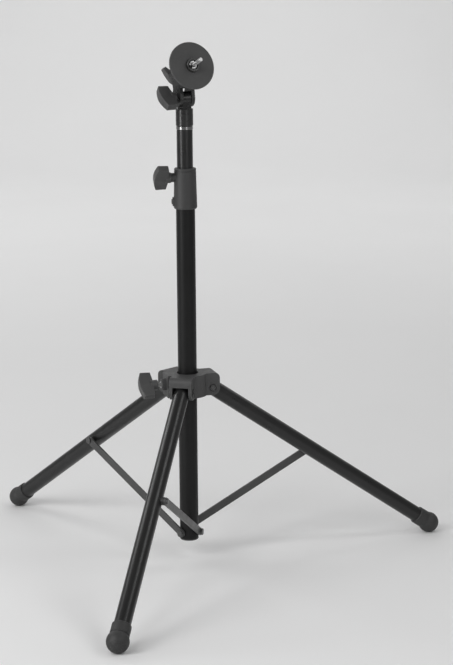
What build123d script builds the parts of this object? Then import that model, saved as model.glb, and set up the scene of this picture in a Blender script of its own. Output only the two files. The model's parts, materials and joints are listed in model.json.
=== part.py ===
from build123d import *
from math import acos, cos, radians, sin, sqrt
import os

# A folding tripod stand with a telescoping mast and a tilting round platform.
# Millimetres, +Z up. The origin is on the floor, on the post's axis.
# Legs stand at 30 (right), 150 (left) and 270 degrees (front).

# ---------- driving dimensions ----------
# tubes
post_radius = 15.0
post_wall = 1.2
mast_radius = 12.5
mast_wall = 1.2
leg_radius = 12.5
leg_wall = 1.2
running_gap = 0.05            # radial clearance of a running fit
collar_gap = 0.08             # collar round the mast

# legs and their hub
leg_azimuths = {"right": 30.0, "left": 150.0, "front": 270.0}
leg_angle = 55.0              # from the vertical, legs open
leg_length = 468.0            # hub pivot to the middle of the foot's ball
ball_radius = 17.0
ball_flat = 0.5               # the ball is flat by this much where it stands
groove_count = 5              # rings on the ball's sole, round the leg's axis
groove_first = 10.5           # degrees from the axis
groove_pitch = 11.3
groove_radius = 0.5
pivot_radius = 36.5           # hub pivot from the post's axis
ball_height = ball_radius - ball_flat
pivot_height = ball_height + leg_length * cos(radians(leg_angle))
sleeve_start = leg_length - 27.5
sleeve_radius = 14.6
leg_tube_top = -4.5           # along the leg, from the hub pivot
leg_tube_end = leg_length - 6.0

# hub moulding, heights from the pivot
hub_top = 24.0
hub_bottom = -12.0
hub_reach = 48.5
hub_core_radius = 31.5        # fills in between the arms
hub_block_reach = 36.5        # squarer on the knob's side
hub_block_width = 32.0
hub_arm_width = 36.0
hub_bore_radius = 17.2
hub_top_round = 8.5
hub_foot_round = 11.0
slot_width = 26.0
slot_inner = 20.3
slot_outer = 46.5
slot_ceiling = 16.5
slot_mouth = 9.4              # underside of the wall that closes an arm's end
pivot_bolt_radius = 3.0
pivot_bolt_end = 2.6          # bolt past the side of the arm
pivot_head_radius = 4.8
pivot_head_height = 2.6
pivot_nut_radius = 4.6        # over its corners
pivot_nut_height = 3.4
pivot_recess_radius = 6.4
pivot_recess_depth = 1.5
hub_knob_azimuth = 210.0
hub_knob_rise = 7.2           # knob axis over the pivots
hub_boss_radius = 9.5
hub_boss_reach = 43.0

# struts: flat bars beside the legs
strut_on_leg = 216.0          # along the leg, from the hub pivot
strut_foot_height = 44.4
strut_inner_face = 16.2       # from the plane through leg and post
strut_thickness = 3.0
strut_width = 12.0
strut_bolt_radius = 2.5
bolt_head_radius = 4.8
bolt_head_height = 3.0
foot_head_radius = 5.5
foot_head_height = 4.0
spacer_radius = 6.2
open_pivot_gap = 2.1          # between spacer and strut on the legs without a shared bolt
shared_pivot_leg = "front"

# post, its plug and the clamp collar
post_bottom = 34.0
post_top = 606.0
plug_flange = 2.0
plug_height = 24.0
collar_bottom = 572.3
collar_top = 636.0
collar_low_radius = 18.4
collar_high_radius = 17.1
collar_knob_height = 621.5
collar_knob_azimuth = 206.0
collar_boss_radius = 7.2
collar_boss_reach = 22.5
fixing_azimuth = 200.0
fixing_height = 583.5
fixing_boss_radius = 7.6
fixing_boss_reach = 20.0
fixing_head_radius = 4.2
fixing_head_height = 1.8

# mast and head
mast_bottom = 210.0
mast_top = 696.0
bush_height = 30.0
ring_height = 5.4
ring_radius = 13.0
stub_radius = 13.5
stub_height = 27.0
spigot_length = 34.0
axle_height = 745.6
axle_rise = 2.1               # axle over the middle of the rounded ears
tongue_half_width = 7.1
tongue_radius = 11.0
head_azimuth = 310.5          # the way the platform faces
head_elevation = 20.0
ear_inner = 7.3
ear_outer = 12.5
ear_radius = 13.0
ear_waist = (-13.2, 9.6)      # back edge of an ear: along the platform's normal, up the platform
ear_neck = (-8.3, 16.0)
ear_toe = (11.6, -6.7)        # front edge
ear_front = (15.1, 10.6)
boss_radius = 12.0            # barrel the stud runs in
boss_back = -17.7             # its back end, from the axle
boss_flange_radius = 20.0
disc_face = 43.98             # platform face in front of the axle, along its normal
disc_rise = 37.43             # platform centre above the axle, along the platform
disc_radius = 37.2
pad_thickness = 3.0
plate_thickness = 2.0
collar_ring_radius = 10.4     # ring round the stud
collar_ring_proud = 5.0
stud_radius = 3.175
stud_reach = 32.0             # past the platform's face
thread_start = 5.5            # full diameter from here on
tilt_bolt_radius = 3.0

# clamping knobs
knob_length = 45.0
knob_depth = 16.4             # at its ends
knob_crown = 4.7              # how far the outer face bulges past its ends
knob_belly = 1.5
knob_width_middle = 14.0
knob_width_end = 11.0
knob_round = 1.1
wing_depth = 9.0              # the stud's knob is a thinner wing
wing_width_middle = 12.5
wing_width_end = 5.5
wing_neck_radius = 6.5
neck_radius = 8.4
neck_length = 5.5
long_neck = 8.5               # hub knob
stud_neck = 3.5
knob_screw_radius = 3.0
screw_depth = 8.0             # past the paddle's inner face
hub_knob_gap = 58.5           # paddle's inner face from the post's axis
collar_knob_gap = 28.7
tilt_knob_gap = 20.7          # from the middle of the tongue
stud_knob_gap = 65.5          # behind the platform's face
collar_knob_roll = 41.0        # how far each grip is turned from upright
hub_knob_roll = -49.0
tilt_knob_roll = -53.5
stud_knob_roll = 41.0

# ---------- worked out ----------
post_bore = post_radius - post_wall
mast_bore = mast_radius - mast_wall
leg_bore = leg_radius - leg_wall
disc_back = disc_face - pad_thickness - plate_thickness
stub_bottom = mast_top + ring_height + running_gap
stub_top = stub_bottom + stub_height

os.makedirs("parts", exist_ok=True)


def finish(piece, node):
    """Name a finished piece and write its file."""
    piece.part.label = node
    export_step(piece.part, f"parts/{node}.step")


def outward(azimuth):
    return Vector(1, 0, 0).rotate(Axis.Z, azimuth)


def tangent(azimuth):
    return Vector(0, 1, 0).rotate(Axis.Z, azimuth)


def upright_plane(azimuth, lateral=0.0, height=0.0):
    """Upright plane beside the post: x runs outwards, y runs up, the normal runs clockwise."""
    origin = tangent(azimuth) * lateral + Vector(0, 0, height)
    return Plane(origin=origin, x_dir=outward(azimuth), z_dir=-tangent(azimuth))


def leg_direction(azimuth):
    return outward(azimuth) * sin(radians(leg_angle)) - Vector(0, 0, cos(radians(leg_angle)))


def leg_point(azimuth, along):
    pivot = outward(azimuth) * pivot_radius + Vector(0, 0, pivot_height)
    return pivot + leg_direction(azimuth) * along


def leg_plane(azimuth, along):
    """Plane square to a leg, its normal running down the leg."""
    return Plane(
        origin=leg_point(azimuth, along), x_dir=tangent(azimuth), z_dir=leg_direction(azimuth)
    )


def side_plane(point, azimuth, lateral=0.0):
    """Plane whose normal runs across a leg, counter-clockwise round the post."""
    return Plane(
        origin=point + tangent(azimuth) * lateral, x_dir=outward(azimuth), z_dir=tangent(azimuth)
    )


def axis_plane(origin, axis, along=0.0):
    return Plane(origin=origin + axis * along, z_dir=axis)


# ---------- post ----------
def post_pieces():
    with BuildPart() as lower_tube:
        with BuildSketch(Plane.XY.offset(post_bottom)):
            Circle(post_radius)
            Circle(post_bore, mode=Mode.SUBTRACT)
        extrude(amount=post_top - post_bottom)
        for azimuth in leg_azimuths.values():
            with BuildSketch(side_plane(Vector(0, 0, strut_foot_height), azimuth)):
                Circle(strut_bolt_radius + running_gap)
            extrude(amount=post_radius + 1, mode=Mode.SUBTRACT)
    finish(lower_tube, "lower_tube")

    with BuildPart() as post_plug:
        with BuildSketch(Plane.XY.offset(post_bottom)):
            Circle(post_bore)
        extrude(amount=plug_height)
        with BuildSketch(Plane.XY.offset(post_bottom - plug_flange)):
            Circle(post_radius)
        extrude(amount=plug_flange)
        chamfer(post_plug.edges().group_by(Axis.Z)[0], length=0.8)
        for azimuth in leg_azimuths.values():
            with BuildSketch(side_plane(Vector(0, 0, strut_foot_height), azimuth, post_bore / 2)):
                Circle(strut_bolt_radius)
            extrude(amount=post_bore, mode=Mode.SUBTRACT)
    finish(post_plug, "post_plug")

    with BuildPart() as strut_foot_bolts:
        for azimuth in leg_azimuths.values():
            bolt_point = Vector(0, 0, strut_foot_height)
            outer_face = strut_inner_face + strut_thickness + 2 * running_gap
            with BuildSketch(side_plane(bolt_point, azimuth, post_bore / 2)):
                Circle(strut_bolt_radius)
            extrude(amount=outer_face - post_bore / 2)
            with BuildSketch(side_plane(bolt_point, azimuth, outer_face)):
                Circle(foot_head_radius)
            extrude(amount=foot_head_height)
            crown = strut_foot_bolts.faces().sort_by(Axis(bolt_point, tangent(azimuth)))[-1]
            fillet(crown.edges(), radius=1.2)
    finish(strut_foot_bolts, "strut_foot_bolts")

    with BuildPart() as strut_foot_washers:
        for azimuth in leg_azimuths.values():
            with BuildSketch(side_plane(Vector(0, 0, strut_foot_height), azimuth, post_radius)):
                Circle(spacer_radius - 1)
                Circle(strut_bolt_radius + running_gap, mode=Mode.SUBTRACT)
            extrude(amount=strut_inner_face - post_radius - running_gap)
    finish(strut_foot_washers, "strut_foot_washers")


# ---------- clamp collar ----------
def collar_pieces():
    knob_axis = outward(collar_knob_azimuth)
    knob_origin = Vector(0, 0, collar_knob_height)
    fixing_axis = outward(fixing_azimuth)
    fixing_origin = Vector(0, 0, fixing_height)
    groove_top = collar_top - 4.0
    with BuildPart() as clamp_collar:
        with BuildSketch(Plane.XZ):
            with BuildLine():
                Polyline(
                    (post_radius + running_gap, collar_bottom),
                    (collar_low_radius - 1.4, collar_bottom),
                    (collar_low_radius, collar_bottom + 2.4),
                    (collar_high_radius, groove_top - 1.0),
                    (collar_high_radius - 0.6, groove_top - 0.5),
                    (collar_high_radius, groove_top),
                    (collar_high_radius, collar_top - 1.2),
                    (collar_high_radius - 1.0, collar_top),
                    (mast_radius + collar_gap, collar_top),
                    (mast_radius + collar_gap, post_top),
                    (post_radius + running_gap, post_top),
                    close=True,
                )
            make_face()
        revolve(axis=Axis.Z)
        with BuildSketch(axis_plane(knob_origin, knob_axis, mast_radius + 2)):
            Circle(collar_boss_radius)
        extrude(amount=collar_boss_reach - mast_radius - 2)
        with BuildSketch(axis_plane(fixing_origin, fixing_axis, post_radius + 1)):
            Circle(fixing_boss_radius)
        extrude(amount=fixing_boss_reach - post_radius - 1, taper=8)
        with BuildSketch(axis_plane(knob_origin, knob_axis)):
            Circle(collar_boss_radius - 2.2)
        extrude(amount=collar_boss_reach + 1, mode=Mode.SUBTRACT)
        with BuildSketch(axis_plane(fixing_origin, fixing_axis)):
            Circle(2.0)
        extrude(amount=fixing_boss_reach + 1, mode=Mode.SUBTRACT)
    finish(clamp_collar, "clamp_collar")

    with BuildPart() as collar_insert:
        insert_start = mast_radius + 1.2
        with BuildSketch(axis_plane(knob_origin, knob_axis, insert_start)):
            Circle(collar_boss_radius - 2.2)
            Circle(knob_screw_radius + running_gap, mode=Mode.SUBTRACT)
        extrude(amount=collar_boss_reach - insert_start)
    finish(collar_insert, "collar_insert")

    with BuildPart() as collar_fixing_screw:
        with BuildSketch(axis_plane(fixing_origin, fixing_axis, post_radius)):
            Circle(2.0)
        extrude(amount=fixing_boss_reach - post_radius)
        with BuildSketch(axis_plane(fixing_origin, fixing_axis, fixing_boss_reach)):
            Circle(fixing_head_radius)
        extrude(amount=fixing_head_height)
        head_edge = collar_fixing_screw.edges().sort_by(Axis(fixing_origin, fixing_axis))[-1]
        fillet(head_edge, radius=1.0)
        with BuildSketch(axis_plane(fixing_origin, fixing_axis, fixing_boss_reach + fixing_head_height)):
            RegularPolygon(1.6, 6)
        extrude(amount=-1.0, mode=Mode.SUBTRACT)
    finish(collar_fixing_screw, "collar_fixing_screw")


# ---------- mast ----------
def mast_pieces():
    with BuildPart() as mast_tube:
        with BuildSketch(Plane.XY.offset(mast_bottom)):
            Circle(mast_radius)
            Circle(mast_bore, mode=Mode.SUBTRACT)
        extrude(amount=mast_top - mast_bottom)
    finish(mast_tube, "mast_tube")

    with BuildPart() as mast_bush:
        with BuildSketch(Plane.XY.offset(mast_bottom)):
            Circle(post_bore - running_gap)
            Circle(mast_radius, mode=Mode.SUBTRACT)
        extrude(amount=bush_height)
        with BuildSketch(Plane.XY.offset(mast_bottom - 4)):
            Circle(post_bore - running_gap)
        extrude(amount=4)
        chamfer(mast_bush.edges().group_by(Axis.Z)[0], length=1.2)
    finish(mast_bush, "mast_bush")

    with BuildPart() as bright_ring:
        with BuildSketch(Plane.XY.offset(mast_top)):
            Circle(ring_radius)
            Circle(mast_bore, mode=Mode.SUBTRACT)
        extrude(amount=ring_height)
        outer_edges = bright_ring.edges().filter_by(GeomType.CIRCLE).filter_by(
            lambda edge: edge.radius > mast_radius
        )
        chamfer(outer_edges, length=0.5)
    finish(bright_ring, "bright_ring")


# ---------- knobs ----------
def knob_frame(origin, axis, roll):
    """Plane at a knob's inner face: normal outwards, x along the paddle."""
    side = Vector(0, 0, 1).cross(axis).normalized()
    rise = axis.cross(side)
    paddle = rise * cos(radians(roll)) + side * sin(radians(roll))
    return Plane(origin=origin, x_dir=paddle, z_dir=axis)


def knob_grip(frame, node, neck=neck_length, wing=False):
    """A paddle knob: a crowned bar, thickest at the middle, on a round neck."""
    half = knob_length / 2
    depth = wing_depth if wing else knob_depth
    width_middle = wing_width_middle if wing else knob_width_middle
    width_end = wing_width_end if wing else knob_width_end
    round_neck = wing_neck_radius if wing else neck_radius
    profile_plane = Plane(origin=frame.origin, x_dir=frame.x_dir, z_dir=-frame.y_dir)
    with BuildPart() as grip:
        with BuildSketch(profile_plane):
            with BuildLine():
                crown = ThreePointArc(
                    (-half, depth), (0, depth + knob_crown), (half, depth)
                )
                Polyline(crown @ 1, (half - 0.7, 0), (0, -knob_belly), (0.7 - half, 0), crown @ 0)
            make_face()
        extrude(amount=width_middle / 2, both=True)
        with BuildSketch(frame.offset(-knob_belly)):
            Polygon(
                (-half, -width_end / 2),
                (0, -width_middle / 2),
                (half, -width_end / 2),
                (half, width_end / 2),
                (0, width_middle / 2),
                (-half, width_end / 2),
            )
        extrude(amount=depth + knob_crown + knob_belly, mode=Mode.INTERSECT)
        fillet(grip.edges(), radius=knob_round)
        with BuildSketch(frame.offset(-neck)):
            Circle(round_neck)
        extrude(amount=neck + 3)
        neck_start = grip.faces().sort_by(Axis(frame.origin, frame.z_dir))[0]
        fillet(neck_start.edges(), radius=0.8)
        with BuildSketch(frame.offset(-neck)):
            Circle(knob_screw_radius)
        extrude(amount=neck + screw_depth, mode=Mode.SUBTRACT)
    finish(grip, node)


def knob_screw(frame, tip, node, radius=knob_screw_radius):
    """The knob's steel screw, from its end inside the grip to a chamfered tip."""
    with BuildPart() as screw:
        with BuildSketch(frame.offset(-tip)):
            Circle(radius)
        extrude(amount=tip + screw_depth)
        tip_edge = screw.edges().sort_by(Axis(frame.origin, frame.z_dir))[0]
        chamfer(tip_edge, length=0.6)
    finish(screw, node)


def collar_knob_pieces():
    axis = outward(collar_knob_azimuth)
    origin = Vector(0, 0, collar_knob_height) + axis * collar_knob_gap
    frame = knob_frame(origin, axis, collar_knob_roll)
    knob_grip(frame, "collar_knob_grip")
    knob_screw(frame, collar_knob_gap - mast_radius - 0.3, "collar_knob_screw")


def hub_knob_pieces():
    axis = outward(hub_knob_azimuth)
    origin = Vector(0, 0, pivot_height + hub_knob_rise) + axis * hub_knob_gap
    frame = knob_frame(origin, axis, hub_knob_roll)
    knob_grip(frame, "hub_knob_grip", long_neck)
    knob_screw(frame, hub_knob_gap - post_radius - 1.0, "hub_knob_screw")


# ---------- hub ----------
def hub_pieces():
    knob_axis = outward(hub_knob_azimuth)
    knob_origin = Vector(0, 0, pivot_height + hub_knob_rise)
    with BuildPart() as hub_body:
        for azimuth in leg_azimuths.values():
            with BuildSketch(upright_plane(azimuth, height=pivot_height)):
                with BuildLine():
                    FilletPolyline(
                        (0, hub_bottom), (hub_reach, hub_bottom), (hub_reach, hub_top), (0, hub_top),
                        radius=(hub_foot_round, hub_top_round),
                    )
                    Line((0, hub_top), (0, hub_bottom))
                make_face()
            extrude(amount=hub_arm_width / 2, both=True)
        with BuildSketch(Plane.XY.offset(pivot_height + hub_bottom)):
            Circle(hub_core_radius)
            with Locations(Location(knob_axis * hub_block_reach / 2, (0, 0, hub_knob_azimuth))):
                Rectangle(hub_block_reach, hub_block_width)
        extrude(amount=hub_top - hub_bottom)
        top_edges = hub_body.faces().sort_by(Axis.Z)[-1].edges()
        fillet(top_edges, radius=1.6)
        with BuildSketch(axis_plane(knob_origin, knob_axis, hub_bore_radius)):
            Circle(hub_boss_radius)
        extrude(amount=hub_boss_reach - hub_bore_radius)
        for azimuth in leg_azimuths.values():
            middle = (slot_inner + slot_outer) / 2
            with BuildSketch(upright_plane(azimuth, height=pivot_height)):
                with Locations((middle, (slot_ceiling + hub_bottom - 1) / 2)):
                    Rectangle(slot_outer - slot_inner, slot_ceiling - hub_bottom + 1)
                with Locations((hub_reach - 2, (slot_mouth + hub_bottom - 1) / 2)):
                    Rectangle(12, slot_mouth - hub_bottom + 1)
            extrude(amount=slot_width / 2, both=True, mode=Mode.SUBTRACT)
            with BuildSketch(side_plane(leg_point(azimuth, 0), azimuth)):
                Circle(pivot_bolt_radius)
            extrude(amount=hub_arm_width, both=True, mode=Mode.SUBTRACT)
            recess_floor = hub_arm_width / 2 - pivot_recess_depth
            for outwards in (1, -1):
                with BuildSketch(side_plane(leg_point(azimuth, 0), azimuth, outwards * recess_floor)):
                    Circle(pivot_recess_radius)
                extrude(amount=outwards * hub_arm_width, mode=Mode.SUBTRACT)
        with BuildSketch(Plane.XY.offset(pivot_height + hub_bottom)):
            Circle(hub_bore_radius)
        extrude(amount=hub_top - hub_bottom, mode=Mode.SUBTRACT)
        with BuildSketch(axis_plane(knob_origin, knob_axis)):
            Circle(hub_boss_radius - 4)
        extrude(amount=hub_boss_reach + 1, mode=Mode.SUBTRACT)
    finish(hub_body, "hub_body")

    with BuildPart() as hub_insert:
        insert_start = hub_bore_radius + 1.2
        with BuildSketch(axis_plane(knob_origin, knob_axis, insert_start)):
            Circle(hub_boss_radius - 4)
            Circle(knob_screw_radius + running_gap, mode=Mode.SUBTRACT)
        extrude(amount=hub_boss_reach + 1.5 - insert_start)
    finish(hub_insert, "hub_insert")

    half = hub_arm_width / 2
    seat = half - pivot_recess_depth
    with BuildPart() as pivot_bolts:
        for azimuth in leg_azimuths.values():
            pivot = leg_point(azimuth, 0)
            with BuildSketch(side_plane(pivot, azimuth, -half - pivot_bolt_end)):
                Circle(pivot_bolt_radius)
            extrude(amount=half + pivot_bolt_end + seat)
            with BuildSketch(side_plane(pivot, azimuth, seat)):
                Circle(pivot_head_radius)
            extrude(amount=pivot_head_height)
            crown = pivot_bolts.faces().sort_by(Axis(pivot, tangent(azimuth)))[-1]
            fillet(crown.edges(), radius=0.8)
            with BuildSketch(side_plane(pivot, azimuth, seat + pivot_head_height)):
                RegularPolygon(pivot_head_radius / 2, 6)
            extrude(amount=-pivot_head_height / 2, mode=Mode.SUBTRACT)
    finish(pivot_bolts, "pivot_bolts")

    with BuildPart() as pivot_nuts:
        for azimuth in leg_azimuths.values():
            with BuildSketch(side_plane(leg_point(azimuth, 0), azimuth, -seat)):
                RegularPolygon(pivot_nut_radius, 6)
                Circle(pivot_bolt_radius, mode=Mode.SUBTRACT)
            extrude(amount=-pivot_nut_height)
    finish(pivot_nuts, "pivot_nuts")


# ---------- legs ----------
def leg_pieces(side, azimuth):
    strut_pivot = leg_point(azimuth, strut_on_leg)
    with BuildPart() as leg_tube:
        with BuildSketch(leg_plane(azimuth, leg_tube_top)):
            Circle(leg_radius)
            Circle(leg_bore, mode=Mode.SUBTRACT)
        extrude(amount=leg_tube_end - leg_tube_top)
        with BuildSketch(side_plane(leg_point(azimuth, 0), azimuth)):
            Circle(pivot_bolt_radius + 0.3)
        extrude(amount=leg_radius + 1, both=True, mode=Mode.SUBTRACT)
        with BuildSketch(side_plane(strut_pivot, azimuth)):
            Circle(strut_bolt_radius)
        extrude(amount=leg_radius + 1, mode=Mode.SUBTRACT)
    finish(leg_tube, f"leg_tube_{side}")

    with BuildPart() as leg_plug:
        with BuildSketch(leg_plane(azimuth, leg_tube_top)):
            Circle(leg_bore)
        extrude(amount=34)
        with BuildSketch(leg_plane(azimuth, leg_tube_top)):
            Circle(leg_radius)
        extrude(amount=-2.6, taper=30)
        with BuildSketch(side_plane(leg_point(azimuth, 0), azimuth)):
            Circle(pivot_bolt_radius + running_gap)
        extrude(amount=leg_radius + 1, both=True, mode=Mode.SUBTRACT)
    finish(leg_plug, f"leg_plug_{side}")

    with BuildPart() as leg_foot:
        foot_frame = Plane(
            origin=leg_point(azimuth, leg_length), x_dir=leg_plane(azimuth, 0).x_dir,
            z_dir=-leg_plane(azimuth, 0).y_dir
        )
        with BuildSketch(foot_frame):
            with BuildLine():
                neck_along = -sqrt(ball_radius**2 - sleeve_radius**2) - 2.2
                ball_start = (sleeve_radius - 0.6, neck_along)
                ball_angle = acos(ball_start[0] / ball_radius)
                start = (ball_radius * cos(ball_angle), -ball_radius * sin(ball_angle))
                Polyline(
                    (0, sleeve_start - leg_length),
                    (sleeve_radius - 1.2, sleeve_start - leg_length),
                    (sleeve_radius, sleeve_start - leg_length + 1.2),
                    (sleeve_radius, neck_along),
                    (sleeve_radius - 0.6, neck_along),
                    start,
                )
                ThreePointArc(start, (ball_radius, 0), (0, ball_radius))
                Line((0, ball_radius), (0, sleeve_start - leg_length))
            make_face()
        foot_axis = Axis(leg_point(azimuth, leg_length), leg_direction(azimuth))
        revolve(axis=foot_axis)
        with BuildSketch(leg_plane(azimuth, sleeve_start - 1)):
            Circle(leg_radius)
        extrude(amount=leg_tube_end - sleeve_start + 1, mode=Mode.SUBTRACT)
        with BuildSketch(foot_frame):
            for groove in range(groove_count):
                angle = radians(groove_first + groove * groove_pitch)
                with Locations((ball_radius * sin(angle), ball_radius * cos(angle))):
                    Circle(groove_radius)
        revolve(axis=foot_axis, mode=Mode.SUBTRACT)
        with BuildSketch(Plane.XY):
            with Locations(outward(azimuth) * (pivot_radius + leg_length)):
                Circle(3 * leg_length)
        extrude(amount=-2 * ball_radius, mode=Mode.SUBTRACT)
    finish(leg_foot, f"leg_foot_{side}")

    shared = side == shared_pivot_leg
    spacer_end = strut_inner_face - running_gap if shared else strut_inner_face - open_pivot_gap
    with BuildPart() as strut_spacer:
        with BuildSketch(side_plane(strut_pivot, azimuth)):
            Circle(spacer_radius)
            Circle(strut_bolt_radius, mode=Mode.SUBTRACT)
        extrude(amount=spacer_end)
        with BuildSketch(leg_plane(azimuth, strut_on_leg - 2 * spacer_radius)):
            Circle(leg_radius)
        extrude(amount=4 * spacer_radius, mode=Mode.SUBTRACT)
    finish(strut_spacer, f"strut_spacer_{side}")


# ---------- struts ----------
def strut_pieces(side, azimuth):
    foot = Vector(0, 0, strut_foot_height)
    head = leg_point(azimuth, strut_on_leg)
    run = head - foot
    bar_plane = Plane(
        origin=foot + tangent(azimuth) * strut_inner_face, x_dir=run.normalized(), z_dir=tangent(azimuth)
    )
    with BuildPart() as strut_bar:
        with BuildSketch(bar_plane):
            with Locations((run.length / 2, 0)):
                SlotCenterToCenter(run.length, strut_width)
            with Locations((0, 0), (run.length, 0)):
                Circle(strut_bolt_radius + running_gap, mode=Mode.SUBTRACT)
        extrude(amount=strut_thickness)
    finish(strut_bar, f"strut_bar_{side}")

    shared = side == shared_pivot_leg
    shank_start = leg_bore if shared else strut_inner_face
    outer_face = strut_inner_face + strut_thickness
    if shared:
        outer_face += 2 * running_gap
    with BuildPart() as strut_bolt:
        with BuildSketch(side_plane(head, azimuth, shank_start)):
            Circle(strut_bolt_radius if shared else strut_bolt_radius + running_gap)
        extrude(amount=outer_face - shank_start)
        with BuildSketch(side_plane(head, azimuth, outer_face)):
            Circle(bolt_head_radius)
        extrude(amount=bolt_head_height)
        crown = strut_bolt.faces().sort_by(Axis(head, tangent(azimuth)))[-1]
        fillet(crown.edges(), radius=1.2)
    finish(strut_bolt, f"strut_bolt_{side}")


# ---------- tilting head ----------
head_normal = outward(head_azimuth) * cos(radians(head_elevation)) + Vector(
    0, 0, sin(radians(head_elevation))
)
axle = Vector(0, 0, axle_height)
ear_centre = axle - Vector(0, 0, axle_rise)
knob_side = outward(head_azimuth - 90)
tilt_frame = Plane(origin=axle, x_dir=head_normal, z_dir=knob_side)
disc_centre = axle + head_normal * disc_face + tilt_frame.y_dir * disc_rise


def along_normal(distance):
    """Plane square to the platform's normal, on the stud's axis, measured from the axle."""
    return Plane(
        origin=axle + tilt_frame.y_dir * disc_rise + head_normal * distance,
        x_dir=knob_side,
        z_dir=head_normal,
    )


def stub_pieces():
    with BuildPart() as head_stub:
        with BuildSketch(Plane.XY.offset(stub_bottom)):
            Circle(stub_radius)
        extrude(amount=stub_height)
        chamfer(head_stub.edges().filter_by(GeomType.CIRCLE), length=1.0)
        with BuildSketch(Plane.XY.offset(stub_bottom - spigot_length)):
            Circle(mast_bore - running_gap)
        extrude(amount=spigot_length)
        with BuildSketch(Plane(origin=ear_centre, x_dir=outward(head_azimuth), z_dir=knob_side)):
            Circle(tongue_radius)
            with Locations((0, (stub_top - 1 - ear_centre.Z) / 2)):
                Rectangle(2 * tongue_radius - 2, ear_centre.Z - stub_top + 1)
        extrude(amount=tongue_half_width, both=True)
        with BuildSketch(tilt_frame):
            Circle(tilt_bolt_radius + running_gap)
        extrude(amount=stub_radius, both=True, mode=Mode.SUBTRACT)
    finish(head_stub, "head_stub")


def yoke_pieces():
    ear_front_top = (disc_back - 4, disc_rise - boss_radius)
    with BuildPart() as tilt_yoke:
        with BuildSketch(tilt_frame):
            with Locations(tilt_frame.to_local_coords(ear_centre)):
                Circle(ear_radius)
            Polygon(
                (0, 0),
                (-ear_radius, 0),
                ear_waist,
                ear_neck,
                (ear_neck[0], disc_rise),
                (ear_front_top[0], disc_rise),
                ear_front_top,
                ear_front,
                ear_toe,
                align=None,
            )
        extrude(amount=ear_outer, both=True)
        with BuildSketch(tilt_frame):
            Circle(ear_radius + 5)
            slot_top = disc_rise - boss_radius - 0.5
            with Locations((disc_face, (slot_top - 2 * ear_radius) / 2)):
                Rectangle(2 * disc_face, slot_top + 2 * ear_radius)
        extrude(amount=ear_inner, both=True, mode=Mode.SUBTRACT)
        with BuildSketch(along_normal(boss_back)):
            Circle(boss_radius)
        extrude(amount=disc_back - boss_back)
        with BuildSketch(along_normal(disc_back - 3)):
            Circle(boss_flange_radius)
        extrude(amount=3)
        with BuildSketch(along_normal(boss_back - 1)):
            Circle(knob_screw_radius + running_gap)
        extrude(amount=disc_back - boss_back + 1, mode=Mode.SUBTRACT)
        with BuildSketch(tilt_frame):
            Circle(tilt_bolt_radius + running_gap)
        extrude(amount=2 * ear_outer, both=True, mode=Mode.SUBTRACT)
        with BuildSketch(tilt_frame.offset(-ear_outer)):
            RegularPolygon(5.5, 6)
        extrude(amount=3.2, mode=Mode.SUBTRACT)
    finish(tilt_yoke, "tilt_yoke")

    with BuildPart() as tilt_nut:
        with BuildSketch(tilt_frame.offset(-ear_outer)):
            RegularPolygon(5.4, 6)
            Circle(tilt_bolt_radius + running_gap, mode=Mode.SUBTRACT)
        extrude(amount=3.1)
    finish(tilt_nut, "tilt_nut")

    with BuildPart() as disc_plate:
        with BuildSketch(along_normal(disc_back)):
            Circle(disc_radius - 0.8)
            Circle(collar_ring_radius - 3, mode=Mode.SUBTRACT)
        extrude(amount=plate_thickness)
        back_rim = disc_plate.edges().filter_by(GeomType.CIRCLE).filter_by(
            lambda edge: edge.radius > disc_radius / 2
        )
        chamfer(back_rim.sort_by(Axis(axle, head_normal))[0], length=1.2)
    finish(disc_plate, "disc_plate")

    with BuildPart() as disc_pad:
        with BuildSketch(along_normal(disc_face - pad_thickness)):
            Circle(disc_radius)
            Circle(collar_ring_radius + 0.3, mode=Mode.SUBTRACT)
        extrude(amount=pad_thickness)
        rims = disc_pad.edges().filter_by(GeomType.CIRCLE).filter_by(
            lambda edge: edge.radius > disc_radius / 2
        )
        fillet(rims.sort_by(Axis(axle, head_normal))[-1], radius=1.0)
    finish(disc_pad, "disc_pad")

    with BuildPart() as stud_ring:
        with BuildSketch(along_normal(disc_back)):
            Circle(collar_ring_radius - 3)
            Circle(knob_screw_radius + running_gap, mode=Mode.SUBTRACT)
        extrude(amount=plate_thickness)
        with BuildSketch(along_normal(disc_back + plate_thickness)):
            Circle(collar_ring_radius)
            Circle(knob_screw_radius + running_gap, mode=Mode.SUBTRACT)
        extrude(amount=pad_thickness + collar_ring_proud)
        with BuildSketch(along_normal(disc_face + collar_ring_proud)):
            Circle(collar_ring_radius - 2.4)
        extrude(amount=-3.0, mode=Mode.SUBTRACT)
        rims = stud_ring.edges().filter_by(GeomType.CIRCLE).filter_by(
            lambda edge: edge.radius > collar_ring_radius - 1
        )
        chamfer(rims.sort_by(Axis(axle, head_normal))[-1], length=0.5)
    finish(stud_ring, "stud_ring")


def tilt_knob_pieces():
    frame = knob_frame(axle + knob_side * tilt_knob_gap, knob_side, tilt_knob_roll)
    knob_grip(frame, "tilt_knob_grip")
    knob_screw(frame, tilt_knob_gap + ear_outer - 0.4, "tilt_bolt", tilt_bolt_radius)


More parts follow.
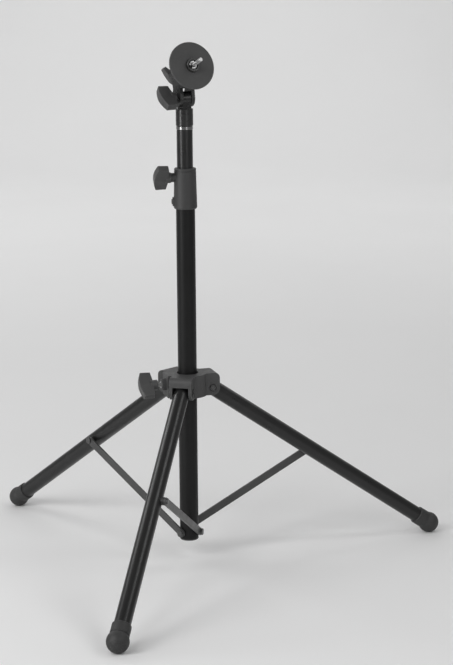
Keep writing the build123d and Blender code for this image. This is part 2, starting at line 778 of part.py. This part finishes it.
def stud_knob_pieces():
    back_axis = -head_normal
    frame = knob_frame(disc_centre + back_axis * stud_knob_gap, back_axis, stud_knob_roll)
    knob_grip(frame, "stud_knob_grip", stud_neck, wing=True)

    shank_start = disc_face - stud_knob_gap - screw_depth
    thread = disc_face + thread_start
    with BuildPart() as stud:
        with BuildSketch(along_normal(shank_start)):
            Circle(knob_screw_radius)
        extrude(amount=thread - shank_start)
        with BuildSketch(along_normal(thread)):
            Circle(stud_radius)
        extrude(amount=disc_face + stud_reach - thread)
        tip_edge = stud.edges().sort_by(Axis(axle, head_normal))[-1]
        chamfer(tip_edge, length=0.8)
    finish(stud, "stud")

    with BuildPart() as stud_clip:
        with BuildSketch(along_normal(disc_face + collar_ring_proud - 2.8)):
            Circle(6.6)
            Circle(knob_screw_radius, mode=Mode.SUBTRACT)
        extrude(amount=2.6)
        rims = stud_clip.edges().filter_by(GeomType.CIRCLE).filter_by(
            lambda edge: edge.radius > stud_radius + 1
        )
        chamfer(rims, length=0.5)
    finish(stud_clip, "stud_clip")


post_pieces()
collar_pieces()
mast_pieces()
collar_knob_pieces()
hub_pieces()
hub_knob_pieces()
for leg_side, leg_azimuth in leg_azimuths.items():
    leg_pieces(leg_side, leg_azimuth)
    strut_pieces(leg_side, leg_azimuth)
stub_pieces()
yoke_pieces()
tilt_knob_pieces()
stud_knob_pieces()
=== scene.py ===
import json
from math import copysign, cos, pi, radians, sin

import bmesh
import bpy
from mathutils import Matrix, Vector


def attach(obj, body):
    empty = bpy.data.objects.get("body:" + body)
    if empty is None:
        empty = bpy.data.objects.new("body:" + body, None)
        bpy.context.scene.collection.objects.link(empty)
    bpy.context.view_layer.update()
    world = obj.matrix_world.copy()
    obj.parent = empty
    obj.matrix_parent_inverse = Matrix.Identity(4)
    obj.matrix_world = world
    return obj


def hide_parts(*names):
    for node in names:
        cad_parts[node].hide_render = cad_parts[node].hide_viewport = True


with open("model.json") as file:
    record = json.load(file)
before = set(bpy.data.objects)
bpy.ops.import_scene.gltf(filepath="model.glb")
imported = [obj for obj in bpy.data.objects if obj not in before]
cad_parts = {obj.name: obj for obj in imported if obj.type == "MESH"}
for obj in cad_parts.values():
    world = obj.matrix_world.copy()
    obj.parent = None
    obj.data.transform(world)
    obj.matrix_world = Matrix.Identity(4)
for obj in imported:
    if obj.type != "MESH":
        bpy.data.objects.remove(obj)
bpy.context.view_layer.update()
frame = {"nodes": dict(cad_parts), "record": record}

# The photograph's view, in the model's frame: metres, radians and, for the lens, millimetres.
VIEW_AZIMUTH = radians(14.18377)
CAMERA_DISTANCE = 2.908148
CAMERA_HEIGHT = 1.007167
CAMERA_YAW = 0.021552
CAMERA_PITCH = 0.214663
CAMERA_ROLL = -0.007208
LENS_MM = 101.59741
SENSOR_MM = 36.0
CAMERA_REACH = 50.0

UP = Vector((0.0, 0.0, 1.0))


# ---------- materials ----------
# How fine the surface patterns are, in cycles a metre.
BROAD_SCALE = 14.0
SMEAR_SCALE = 46.0
SPECK_SCALE = 75.0
PATCH_SCALE = 160.0
PAPER_SCALE = 1.2

RELIEF_DEPTH = 0.0004
SHARP_EDGE = 5 / 6            # cosine of the turn at which an edge is fully worn
COAT_ROUGHNESS = 0.25
DUST_COLOUR = (0.55, 0.55, 0.54, 1.0)


def node(tree, kind, **settings):
    """Add a node to a material's tree."""
    made = tree.nodes.new(kind)
    for name, value in settings.items():
        setattr(made, name, value)
    return made


def noise(tree, scale, detail=4.0, roughness=0.55):
    """Noise in object space."""
    place = node(tree, "ShaderNodeTexCoord")
    texture = node(tree, "ShaderNodeTexNoise")
    texture.inputs["Scale"].default_value = scale
    texture.inputs["Detail"].default_value = detail
    texture.inputs["Roughness"].default_value = roughness
    tree.links.new(place.outputs["Object"], texture.inputs["Vector"])
    return texture.outputs["Fac"]


def spread(tree, value, low, high, start=0.3, end=0.7):
    """Map a value between start and end to the range from low to high."""
    mapping = node(tree, "ShaderNodeMapRange")
    mapping.inputs["From Min"].default_value = start
    mapping.inputs["From Max"].default_value = end
    mapping.inputs["To Min"].default_value = low
    mapping.inputs["To Max"].default_value = high
    tree.links.new(value, mapping.inputs["Value"])
    return mapping.outputs["Result"]


def grey(level):
    """An opaque neutral grey."""
    return (level, level, level, 1.0)


def feed(tree, socket, value):
    """Link another node's output to a socket, or give it a constant of its own."""
    if isinstance(value, bpy.types.NodeSocket):
        tree.links.new(value, socket)
    else:
        socket.default_value = value


def mix_colour(tree, factor, first, second):
    """Mix two colours, each a constant or an output, by a varying factor."""
    mix = node(tree, "ShaderNodeMix", data_type="RGBA")
    tree.links.new(factor, mix.inputs["Factor"])
    feed(tree, mix.inputs["A"], first)
    feed(tree, mix.inputs["B"], second)
    return mix.outputs["Result"]


def times(tree, first, second):
    """The product of two values, each a number or an output."""
    product = node(tree, "ShaderNodeMath", operation="MULTIPLY", use_clamp=True)
    feed(tree, product.inputs[0], first)
    feed(tree, product.inputs[1], second)
    return product.outputs["Value"]


def edge_mask(tree, radius):
    """Bright where the surface turns sharply, from the angle between it and its rounded normal."""
    bevel = node(tree, "ShaderNodeBevel", samples=4)
    bevel.inputs["Radius"].default_value = radius
    geometry = node(tree, "ShaderNodeNewGeometry")
    dot = node(tree, "ShaderNodeVectorMath", operation="DOT_PRODUCT")
    tree.links.new(bevel.outputs["Normal"], dot.inputs[0])
    tree.links.new(geometry.outputs["Normal"], dot.inputs[1])
    return spread(tree, dot.outputs["Value"], 1.0, 0.0, start=SHARP_EDGE, end=1.0)


def wear_mask(tree, radius):
    """Rubbed edges, in patches."""
    patches = spread(tree, noise(tree, PATCH_SCALE), 0.0, 1.0, start=0.42, end=0.66)
    return times(tree, edge_mask(tree, radius), patches)


def dust_mask(tree, amount):
    """Small round specks at some of the points of a scattered grid."""
    specks = node(tree, "ShaderNodeTexVoronoi", feature="F1")
    specks.inputs["Scale"].default_value = SPECK_SCALE
    place = node(tree, "ShaderNodeTexCoord")
    tree.links.new(place.outputs["Object"], specks.inputs["Vector"])
    near = spread(tree, specks.outputs["Distance"], 1.0, 0.0, start=0.02, end=0.06)
    some = spread(tree, specks.outputs["Color"], 0.0, 1.0, start=0.80, end=0.84)
    return times(tree, times(tree, near, some), amount)


def material(name, base, shade, rough, metallic=0.0, grain=900.0, bump=0.05,
             wear=None, wear_grey=0.16, dust=0.0, coat=0.0, specular=0.5):
    """A grey surface whose tone varies from base to shade and its roughness over a range.

    It has a grain in relief and, where asked, rubbed edges of a lighter grey and specks of dust.
    """
    made = bpy.data.materials.new(name)
    made.use_nodes = True
    tree = made.node_tree
    shader = tree.nodes["Principled BSDF"]
    shader.inputs["Metallic"].default_value = metallic
    shader.inputs["Specular IOR Level"].default_value = specular
    shader.inputs["Coat Weight"].default_value = coat
    shader.inputs["Coat Roughness"].default_value = COAT_ROUGHNESS
    broad = noise(tree, BROAD_SCALE, detail=5.0, roughness=0.6)
    colour = mix_colour(tree, spread(tree, broad, 0.0, 1.0), grey(base), grey(shade))
    smear = noise(tree, SMEAR_SCALE, detail=6.0, roughness=0.65)
    roughness = spread(tree, smear, *rough)
    if wear:
        colour = mix_colour(tree, wear_mask(tree, wear), colour, grey(wear_grey))
    if dust:
        colour = mix_colour(tree, dust_mask(tree, dust), colour, DUST_COLOUR)
    tree.links.new(colour, shader.inputs["Base Color"])
    tree.links.new(roughness, shader.inputs["Roughness"])
    relief = node(tree, "ShaderNodeBump")
    relief.inputs["Strength"].default_value = bump
    relief.inputs["Distance"].default_value = RELIEF_DEPTH
    tree.links.new(noise(tree, grain, detail=3.0, roughness=0.5), relief.inputs["Height"])
    tree.links.new(relief.outputs["Normal"], shader.inputs["Normal"])
    return made


looks = {
    "post_tube": material(
        "flat_black_coat", 0.007, 0.010, (0.34, 0.44),
        grain=1500.0, bump=0.10, dust=0.5, specular=0.22),
    "black_tube": material(
        "satin_black_coat", 0.008, 0.011, (0.27, 0.34),
        grain=1500.0, bump=0.04, dust=0.4),
    "strut_enamel": material(
        "strut_enamel", 0.050, 0.066, (0.34, 0.48),
        grain=1100.0, bump=0.12, wear=0.0006, wear_grey=0.20, dust=0.4),
    "black_plastic": material(
        "moulded_black", 0.050, 0.064, (0.46, 0.60),
        grain=2200.0, bump=0.30, wear=0.0008, wear_grey=0.16, dust=0.35),
    "knob_plastic": material(
        "knob_black", 0.050, 0.064, (0.42, 0.56),
        grain=2200.0, bump=0.25, wear=0.0009, wear_grey=0.15, dust=0.3),
    "pad_rubber": material(
        "pad_rubber", 0.068, 0.082, (0.72, 0.88),
        grain=2600.0, bump=0.35, dust=0.2, specular=0.35),
    "foot_rubber": material(
        "foot_rubber", 0.025, 0.036, (0.50, 0.66),
        grain=1800.0, bump=0.25, wear=0.0008, wear_grey=0.09, dust=0.4),
    "bright_chrome": material(
        "bright_chrome", 0.25, 0.33, (0.16, 0.27),
        metallic=1.0, grain=700.0, bump=0.04),
    "zinc_steel": material(
        "zinc_steel", 0.40, 0.52, (0.22, 0.38),
        metallic=1.0, grain=1200.0, bump=0.10),
    "black_steel": material(
        "black_steel", 0.040, 0.060, (0.24, 0.38),
        grain=1200.0, bump=0.15, wear=0.0006, wear_grey=0.30, coat=0.4),
    "ring_black": material(
        "ring_black", 0.018, 0.026, (0.26, 0.40),
        grain=900.0, bump=0.10, wear=0.0005, wear_grey=0.30),
    "head_plastic": material(
        "head_black", 0.016, 0.022, (0.24, 0.34),
        grain=1600.0, bump=0.10, wear=0.0006, wear_grey=0.10, dust=0.3),
    "collar_plastic": material(
        "collar_black", 0.030, 0.040, (0.46, 0.60),
        grain=2200.0, bump=0.30, wear=0.0008, wear_grey=0.14, dust=0.35),
    "insert_steel": material(
        "insert_steel", 0.36, 0.48, (0.26, 0.42),
        metallic=1.0, grain=900.0, bump=0.10),
    "plate_metal": material(
        "plate_black", 0.020, 0.028, (0.34, 0.48),
        grain=1400.0, bump=0.12, wear=0.0006, wear_grey=0.11),
    "spacer_nylon": material(
        "spacer_nylon", 0.026, 0.036, (0.46, 0.62),
        grain=1800.0, bump=0.2),
}

slot_of = {row["node"]: row["material_slot"] for row in frame["record"]["subparts"]}
for name, cad in frame["nodes"].items():
    cad.data.materials.clear()
    cad.data.materials.append(looks[slot_of[name]])


# ---------- screws and clip ----------
SMOOTH_ANGLE = radians(40)
ROUND = 36                    # points round a screw
STEPS_PER_TURN = 10
COARSE_PITCH = 0.00127
FINE_PITCH = 0.001
THREAD_DEPTH = 0.55           # of the pitch
FLANK_SLOPE = 1.6             # above 1 the crests are flat
TIP_TAPER = 0.0007
SHANK_RADIUS = 0.003
STUD_RADIUS = 0.003175

# Distances along a clamp knob's screw from its grip's inner face, with the tip on the minus side.
HUB_SCREW_TIP = -0.0424
COLLAR_SCREW_TIP = -0.0158
SCREW_INNER = 0.001           # where the thread ends
SCREW_DEPTH = 0.0078          # where the shank ends inside the grip

# Distances along the camera stud from the platform's face.
STUD_TIP = 0.032
STUD_MIDDLE = 0.01835         # of the part that a camera takes
STUD_INNER = 0.0055
STUD_BACK = -0.0733

CLIP_INNER = 0.0031
CLIP_OUTER = 0.0065
CLIP_BACK = 0.0023            # in front of the platform's face
CLIP_THICKNESS = 0.0024
CLIP_GAP = radians(46)
CLIP_ROUNDING = 0.6           # 1 is a round section, 0 a square one
CLIP_SECTIONS = 64
CLIP_CORNERS = 16


def smooth_piece(name, points, faces, body, replaced, slot):
    """Make a mesh piece that rides a body and takes the place of a CAD node."""
    mesh = bpy.data.meshes.new(name)
    mesh.from_pydata([tuple(point) for point in points], [], faces)
    mesh.update()
    work = bmesh.new()
    work.from_mesh(mesh)
    bmesh.ops.recalc_face_normals(work, faces=work.faces)
    for edge in work.edges:
        edge.smooth = len(edge.link_faces) < 2 or edge.calc_face_angle(0.0) < SMOOTH_ANGLE
    for face in work.faces:
        face.smooth = True
    work.to_mesh(mesh)
    work.free()
    piece = bpy.data.objects.new(name, mesh)
    bpy.context.collection.objects.link(piece)
    mesh.materials.append(looks[slot])
    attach(piece, body)
    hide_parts(replaced)


def cross_axes(axis):
    """Two directions square to an axis and to each other."""
    side = axis.orthogonal().normalized()
    return side, axis.cross(side)


def ring_walls(rings, corners):
    """Walls between neighbouring rings of points, and a cap on the first and the last ring."""
    faces = [tuple(range(corners)), tuple((rings - 1) * corners + step for step in range(corners))]
    for ring in range(rings - 1):
        low, high = ring * corners, (ring + 1) * corners
        for step in range(corners):
            after = (step + 1) % corners
            faces.append((low + step, low + after, high + after, high + step))
    return faces


def threaded_screw(name, origin, axis, ends, radius, pitch, body, replaced):
    """A thread from its tip to its inner end, then a plain shank: ends = (tip, inner, shank)."""
    tip, inner, shank = ends
    side, rise = cross_axes(axis)
    steps = int(abs(inner - tip) / pitch * STEPS_PER_TURN)
    stations = [(tip + (inner - tip) * step / steps, True) for step in range(steps + 1)]
    if radius > SHANK_RADIUS:
        shoulder = inner + copysign(pitch / 4, shank - inner)
        stations.append((shoulder, False))
    stations.append((shank, False))

    def thread_radius(along, turn):
        phase = (along / pitch - turn) % 1.0
        height = min(1.0, FLANK_SLOPE * abs(2 * phase - 1))
        runout = min(1.0, abs(along - inner) / pitch)
        cut = THREAD_DEPTH * pitch * (1 - height) * runout
        taper = max(0.0, TIP_TAPER - abs(along - tip))
        return radius - max(cut, taper)

    points = []
    for along, threaded in stations:
        for step in range(ROUND):
            turn = step / ROUND
            out = thread_radius(along, turn) if threaded else SHANK_RADIUS
            spoke = side * cos(2 * pi * turn) + rise * sin(2 * pi * turn)
            points.append(origin + axis * along + spoke * out)
    faces = ring_walls(len(stations), ROUND)
    smooth_piece(name, points, faces, body, replaced, "zinc_steel")


def split_clip(name, origin, axis, body, replaced):
    """A C-shaped retaining ring whose section is a square with well rounded corners."""
    side, rise = cross_axes(axis)

    def bulge(value):
        return copysign(abs(value) ** CLIP_ROUNDING, value)

    points = []
    for section in range(CLIP_SECTIONS + 1):
        angle = CLIP_GAP / 2 + (2 * pi - CLIP_GAP) * section / CLIP_SECTIONS
        spoke = side * cos(angle) + rise * sin(angle)
        for corner in range(CLIP_CORNERS):
            around = 2 * pi * corner / CLIP_CORNERS
            out = (CLIP_INNER + CLIP_OUTER) / 2 + bulge(cos(around)) * (CLIP_OUTER - CLIP_INNER) / 2
            along = CLIP_BACK + CLIP_THICKNESS / 2 + bulge(sin(around)) * CLIP_THICKNESS / 2
            points.append(origin + axis * along + spoke * out)
    faces = ring_walls(CLIP_SECTIONS + 1, CLIP_CORNERS)
    smooth_piece(name, points, faces, body, replaced, "zinc_steel")


joints = {joint["name"]: joint for joint in frame["record"]["behaviour"]["joints"]}
mounts = {mount["name"]: mount for mount in frame["record"]["mounts"]}
stud_axis = Vector(mounts["camera_stud"]["axis"])
platform_centre = Vector(mounts["camera_stud"]["pos_m"]) - stud_axis * STUD_MIDDLE
threaded_screw("stud_thread", platform_centre, stud_axis, (STUD_TIP, STUD_INNER, STUD_BACK),
               STUD_RADIUS, COARSE_PITCH, "stud_knob", "stud")
split_clip("stud_retainer", platform_centre, stud_axis, "stud_knob", "stud_clip")
for knob, tip in (("hub_knob", HUB_SCREW_TIP), ("collar_knob", COLLAR_SCREW_TIP)):
    joint = joints[f"{knob}_turn"]
    threaded_screw(f"{knob}_thread", Vector(joint["pos_m"]), Vector(joint["axis"]),
                   (tip, SCREW_INNER, SCREW_DEPTH), SHANK_RADIUS, FINE_PITCH, knob, f"{knob}_screw")


# ---------- stage and light ----------
SWEEP_HALF_WIDTH = 8.0
SWEEP_FRONT = -7.0
SWEEP_BEND = 4.6              # where the floor starts to curve up
SWEEP_RADIUS = 2.0
SWEEP_TOP = 6.0
SWEEP_STEPS = 24
WORLD_GREY = 0.92
WORLD_STRENGTH = 0.27

view_turn = Matrix.Rotation(VIEW_AZIMUTH, 3, "Z")


def view_frame(x, y, z):
    """A point given as right, away and up from the camera's side, in the model's frame."""
    return view_turn @ Vector((x, y, z))


def paper_look():
    """Matt pale paper with a faint unevenness."""
    paper = bpy.data.materials.new("paper")
    paper.use_nodes = True
    tree = paper.node_tree
    shader = tree.nodes["Principled BSDF"]
    shader.inputs["Roughness"].default_value = 0.95
    shader.inputs["Specular IOR Level"].default_value = 0.1
    tint = mix_colour(tree, spread(tree, noise(tree, PAPER_SCALE), 0.0, 1.0), grey(0.86), grey(0.88))
    tree.links.new(tint, shader.inputs["Base Color"])
    return paper


def cyclorama():
    """A pale sweep: the floor, a wide curve and the wall."""
    profile = [(SWEEP_FRONT, 0.0), (SWEEP_BEND, 0.0)]
    for step in range(1, SWEEP_STEPS + 1):
        angle = step / SWEEP_STEPS * pi / 2
        away = SWEEP_BEND + SWEEP_RADIUS * sin(angle)
        profile.append((away, SWEEP_RADIUS * (1 - cos(angle))))
    profile.append((SWEEP_BEND + SWEEP_RADIUS, SWEEP_TOP))
    points = []
    for away, height in profile:
        points.append(view_frame(-SWEEP_HALF_WIDTH, away, height))
        points.append(view_frame(SWEEP_HALF_WIDTH, away, height))
    faces = [(2 * i, 2 * i + 1, 2 * i + 3, 2 * i + 2) for i in range(len(profile) - 1)]
    mesh = bpy.data.meshes.new("sweep")
    mesh.from_pydata(points, [], faces)
    for polygon in mesh.polygons:
        polygon.use_smooth = True
    mesh.materials.append(paper_look())
    sweep = bpy.data.objects.new("sweep", mesh)
    bpy.context.collection.objects.link(sweep)


def area_light(name, place, target, size, watts):
    """A rectangular soft box, placed and aimed in the camera's frame."""
    light = bpy.data.lights.new(name, "AREA")
    light.energy = watts
    light.shape = "RECTANGLE"
    light.size, light.size_y = size
    made = bpy.data.objects.new(name, light)
    bpy.context.collection.objects.link(made)
    made.location = view_frame(*place)
    aim = view_frame(*target) - made.location
    made.rotation_euler = aim.to_track_quat("-Z", "Y").to_euler()


def studio_world():
    """An even grey surround that fills the shadows."""
    world = bpy.data.worlds.new("studio")
    world.use_nodes = True
    surround = world.node_tree.nodes["Background"]
    surround.inputs["Color"].default_value = grey(WORLD_GREY)
    surround.inputs["Strength"].default_value = WORLD_STRENGTH
    bpy.context.scene.world = world
    bpy.context.scene.view_settings.view_transform = "Standard"


cyclorama()
# The first six light the stand, and the last three the paper behind it.
area_light("left_strip", (-1.9, -1.35, 1.15), (0.0, 0.0, 0.35), (0.7, 1.9), 28.0)
area_light("right_strip", (1.15, -2.0, 1.0), (0.0, 0.0, 0.40), (0.4, 1.5), 4.0)
area_light("front_top", (-1.6, -2.6, 2.8), (-0.3, -0.8, 0.0), (1.2, 1.2), 20.5)
area_light("right_high", (1.6, -1.25, 1.65), (0.0, 0.0, 0.7), (0.8, 0.8), 5.0)
area_light("left_over", (-1.45, 0.70, 1.80), (-0.1, 0.2, 0.3), (0.45, 0.8), 2.6)
area_light("right_over", (1.35, -0.15, 2.05), (0.0, 0.0, 0.3), (0.40, 0.8), 4.0)
area_light("left_back", (-2.6, 2.4, 2.6), (-0.6, 3.6, 0.0), (1.2, 1.2), 26.0)
area_light("right_back", (2.6, 2.6, 2.6), (0.8, 3.8, 0.0), (1.2, 1.2), 14.0)
area_light("far_back", (0.0, 4.2, 3.6), (0.0, 4.8, 0.0), (4.0, 2.0), 50.0)
studio_world()


# ---------- camera ----------
def photo_camera():
    """The camera that took the photograph, turned round the post with the view's frame."""
    eye = Vector((0.0, -CAMERA_DISTANCE, CAMERA_HEIGHT))
    level = Vector((sin(CAMERA_YAW), cos(CAMERA_YAW), 0.0))
    ahead = level * cos(CAMERA_PITCH) - UP * sin(CAMERA_PITCH)
    flat_right = ahead.cross(UP).normalized()
    flat_up = flat_right.cross(ahead)
    right = flat_right * cos(CAMERA_ROLL) + flat_up * sin(CAMERA_ROLL)
    up = flat_up * cos(CAMERA_ROLL) - flat_right * sin(CAMERA_ROLL)
    place = Matrix((view_turn @ right, view_turn @ up, view_turn @ -ahead)).transposed().to_4x4()
    place.translation = view_turn @ eye
    lens = bpy.data.cameras.new("photo_camera")
    lens.sensor_fit = "VERTICAL"
    lens.sensor_height = SENSOR_MM
    lens.lens = LENS_MM
    lens.clip_end = CAMERA_REACH
    camera = bpy.data.objects.new("photo_camera", lens)
    bpy.context.collection.objects.link(camera)
    camera.matrix_world = place
    bpy.context.scene.camera = camera


photo_camera()
